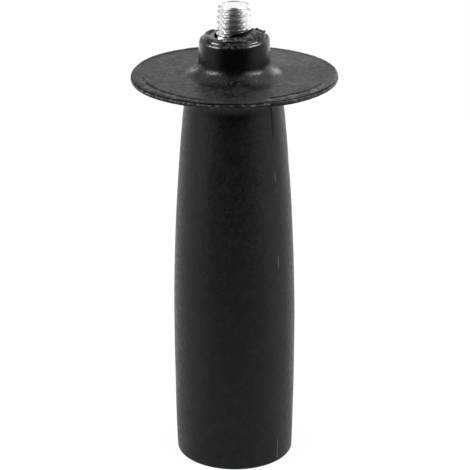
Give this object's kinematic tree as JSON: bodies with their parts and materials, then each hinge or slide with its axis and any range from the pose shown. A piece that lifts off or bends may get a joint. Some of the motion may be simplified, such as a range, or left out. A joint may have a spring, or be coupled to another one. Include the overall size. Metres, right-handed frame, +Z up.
{
  "type": "power tool side handle",
  "caption": "Screw-in side handle: a barrel-shaped plastic grip with a round guard flange and a collar, over a moulded-in threaded steel stud.",
  "frame": {"origin": "centre of the open end of the grip, on the surface that the handle stands on", "axes": "+Z up the handle's axis, towards the thread; -Y towards the viewer of the picture"},
  "size_m": [0.0464, 0.0464, 0.1081],
  "materials": {
    "black_plastic": "moulded black plastic with a fine grain, scuffed at the flange",
    "zinc_steel": "bright zinc plating on a rolled thread"
  },
  "bodies": {
    "root": {"handle_moulding": "black_plastic", "threaded_stud": "zinc_steel"}
  },
  "joints": []
}
